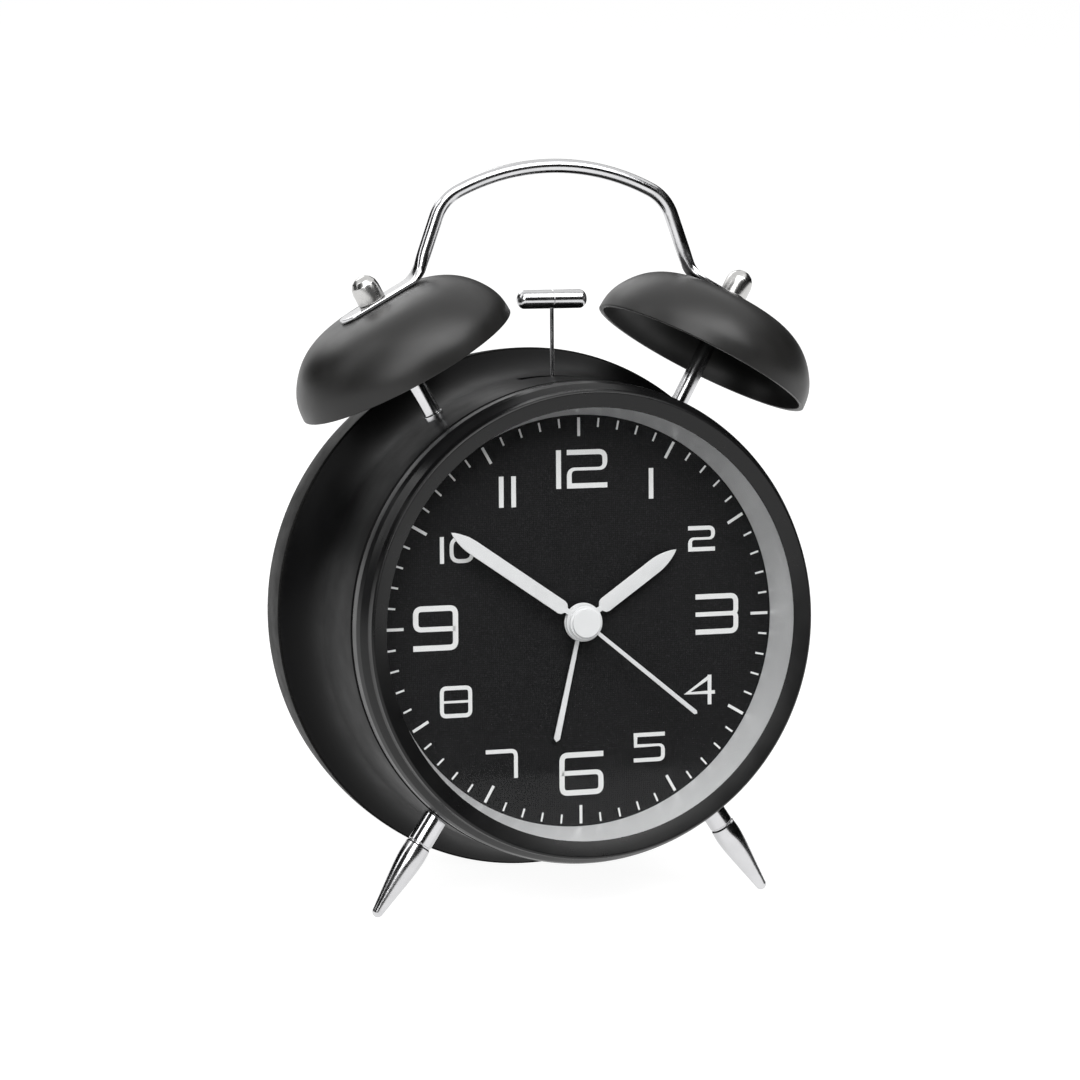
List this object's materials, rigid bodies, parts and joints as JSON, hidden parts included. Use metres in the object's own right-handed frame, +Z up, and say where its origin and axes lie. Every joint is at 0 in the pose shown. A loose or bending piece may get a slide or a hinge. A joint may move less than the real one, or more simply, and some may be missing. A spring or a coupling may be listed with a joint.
{
  "type": "alarm clock",
  "caption": "Twin-bell alarm clock with a round drum case leaning back on splayed front legs, numbered dial, hammer and carrying handle.",
  "frame": {"origin": "centre of the footprint at the level the clock stands on", "axes": "+Z up, +Y from the dial towards the rear cover, +X to the right seen from the front; the dial leans back about 8 degrees"},
  "size_m": [0.1184, 0.0722, 0.1626],
  "materials": {
    "drum_paint": "satin black paint",
    "bezel_paint": "satin black paint over a spun double bead",
    "cover_plastic": "fine-grained black plastic",
    "bell_coat": "matte charcoal coating",
    "chrome": "bright chrome plate",
    "nickel": "softly polished nickel plate",
    "lens_clear": "clear flat lens",
    "reflector_silver": "frosted silver",
    "dial_print": "finely textured black dial with white print",
    "hand_silver": "fine-grained silver white",
    "hub_white": "satin white",
    "knob_black": "satin black plastic",
    "movement_plastic": "moulded dark plastic",
    "gear_plastic": "natural acetal",
    "magnet": "sintered magnet",
    "steel": "zinc-plated steel",
    "copper": "enamelled copper winding",
    "board_green": "solder mask",
    "chip_black": "epoxy",
    "cell_wrap": "printed sleeve, bare of marks",
    "lead_red": "wire insulation"
  },
  "bodies": {
    "case": {"case_drum": "drum_paint", "front_bezel": "bezel_paint", "lens": "lens_clear", "reflector_ring": "reflector_silver", "dial_plate": "dial_print", "dial_carrier": "movement_plastic", "back_cover": "cover_plastic", "cover_screws": "steel", "bell_right": "bell_coat", "bell_left": "bell_coat", "bell_posts": "chrome", "bell_washers": "steel", "cap_nuts": "nickel", "handle": "chrome", "legs": "chrome", "drum_nuts": "steel", "movement_front": "movement_plastic", "movement_middle": "gear_plastic", "movement_rear": "movement_plastic", "small_screws": "steel", "circuit_board": "board_green", "circuit_chip": "chip_black", "quartz_crystal": "steel", "stator": "steel", "coil_core": "steel", "coil": "copper", "alarm_contact": "copper", "striker_bracket": "steel", "striker_pins": "steel", "striker_motor": "steel", "leads": "lead_red", "battery_tray": "movement_plastic", "battery_cells": "cell_wrap", "battery_contacts": "steel", "battery_springs": "steel"},
    "hammer": {"hammer_rocker": "gear_plastic", "hammer_stem": "chrome", "hammer_head": "chrome"},
    "crank": {"crank_gear": "gear_plastic"},
    "motor": {"motor_pinion": "gear_plastic"},
    "second": {"second_wheel": "gear_plastic", "second_hand": "hand_silver", "hub_cap": "hub_white"},
    "third": {"third_wheel": "gear_plastic"},
    "minute": {"centre_wheel": "gear_plastic", "cannon_pinion": "gear_plastic", "minute_hand": "hand_silver"},
    "minute_set": {"minute_wheel": "gear_plastic", "time_knob": "knob_black"},
    "hour": {"hour_wheel": "gear_plastic", "hour_hand": "hand_silver"},
    "intermediate": {"intermediate_wheel": "gear_plastic"},
    "rotor": {"rotor": "magnet"},
    "alarm_set": {"alarm_arbor": "gear_plastic", "alarm_knob": "knob_black"},
    "alarm_dial": {"alarm_wheel": "gear_plastic", "alarm_hand": "hand_silver"},
    "switch": {"alarm_switch": "knob_black"},
    "door": {"battery_door": "knob_black"}
  },
  "joints": [
    {"name": "hammer_swing", "type": "hinge", "parent": "case", "child": "hammer", "pos_m": [0, 0.00287, 0.09826], "axis": [0, 0.9898, -0.1421], "range_deg": [-6.5, 6.5]},
    {"name": "crank_turn", "type": "hinge", "parent": "case", "child": "crank", "pos_m": [0, 0.0056, 0.08776], "axis": [0, 0.9898, -0.1421], "continuous": true},
    {"name": "motor_turn", "type": "hinge", "parent": "case", "child": "motor", "pos_m": [0.01, 0.00699, 0.08756], "axis": [0, 0.9898, -0.1421], "continuous": true},
    {"name": "second_turn", "type": "hinge", "parent": "case", "child": "second", "pos_m": [0, -0.01863, 0.06396], "axis": [0, 0.9898, -0.1421], "continuous": true},
    {"name": "third_turn", "type": "hinge", "parent": "case", "child": "third", "pos_m": [0, -0.0082, 0.05216], "axis": [0, 0.9898, -0.1421], "continuous": true},
    {"name": "minute_turn", "type": "hinge", "parent": "case", "child": "minute", "pos_m": [0, -0.01368, 0.06325], "axis": [0, 0.9898, -0.1421], "continuous": true},
    {"name": "time_knob_turn", "type": "hinge", "parent": "case", "child": "minute_set", "pos_m": [-0.01104, 0.00117, 0.06112], "axis": [0, 0.9898, -0.1421], "continuous": true},
    {"name": "hour_turn", "type": "hinge", "parent": "case", "child": "hour", "pos_m": [0, -0.01566, 0.06354], "axis": [0, 0.9898, -0.1421], "continuous": true},
    {"name": "intermediate_turn", "type": "hinge", "parent": "case", "child": "intermediate", "pos_m": [0, -0.00429, 0.07233], "axis": [0, 0.9898, -0.1421], "continuous": true},
    {"name": "rotor_turn", "type": "hinge", "parent": "case", "child": "rotor", "pos_m": [-0.0063, -0.00429, 0.07233], "axis": [0, 0.9898, -0.1421], "continuous": true},
    {"name": "alarm_knob_turn", "type": "hinge", "parent": "case", "child": "alarm_set", "pos_m": [0.0112, 0.00117, 0.06112], "axis": [0, 0.9898, -0.1421], "continuous": true},
    {"name": "alarm_hand_turn", "type": "hinge", "parent": "case", "child": "alarm_dial", "pos_m": [0, -0.01665, 0.06368], "axis": [0, 0.9898, -0.1421], "continuous": true},
    {"name": "alarm_switch_slide", "type": "slide", "parent": "case", "child": "switch", "axis": [1, 0, 0], "range_m": [-0.003, 0.003]},
    {"name": "battery_door_pull", "type": "slide", "parent": "case", "child": "door", "axis": [0, 0.9898, -0.1421], "range_m": [0, 0.012]}
  ],
  "couplings": [
    {"joint": "motor_turn", "follows": "crank_turn", "ratio": -4},
    {"joint": "third_turn", "follows": "second_turn", "ratio": -0.13333},
    {"joint": "minute_turn", "follows": "second_turn", "ratio": 0.016667},
    {"joint": "time_knob_turn", "follows": "second_turn", "ratio": -0.0055556},
    {"joint": "hour_turn", "follows": "second_turn", "ratio": 0.0013889},
    {"joint": "intermediate_turn", "follows": "second_turn", "ratio": -5},
    {"joint": "rotor_turn", "follows": "second_turn", "ratio": 30},
    {"joint": "alarm_hand_turn", "follows": "alarm_knob_turn", "ratio": -0.33333}
  ]
}
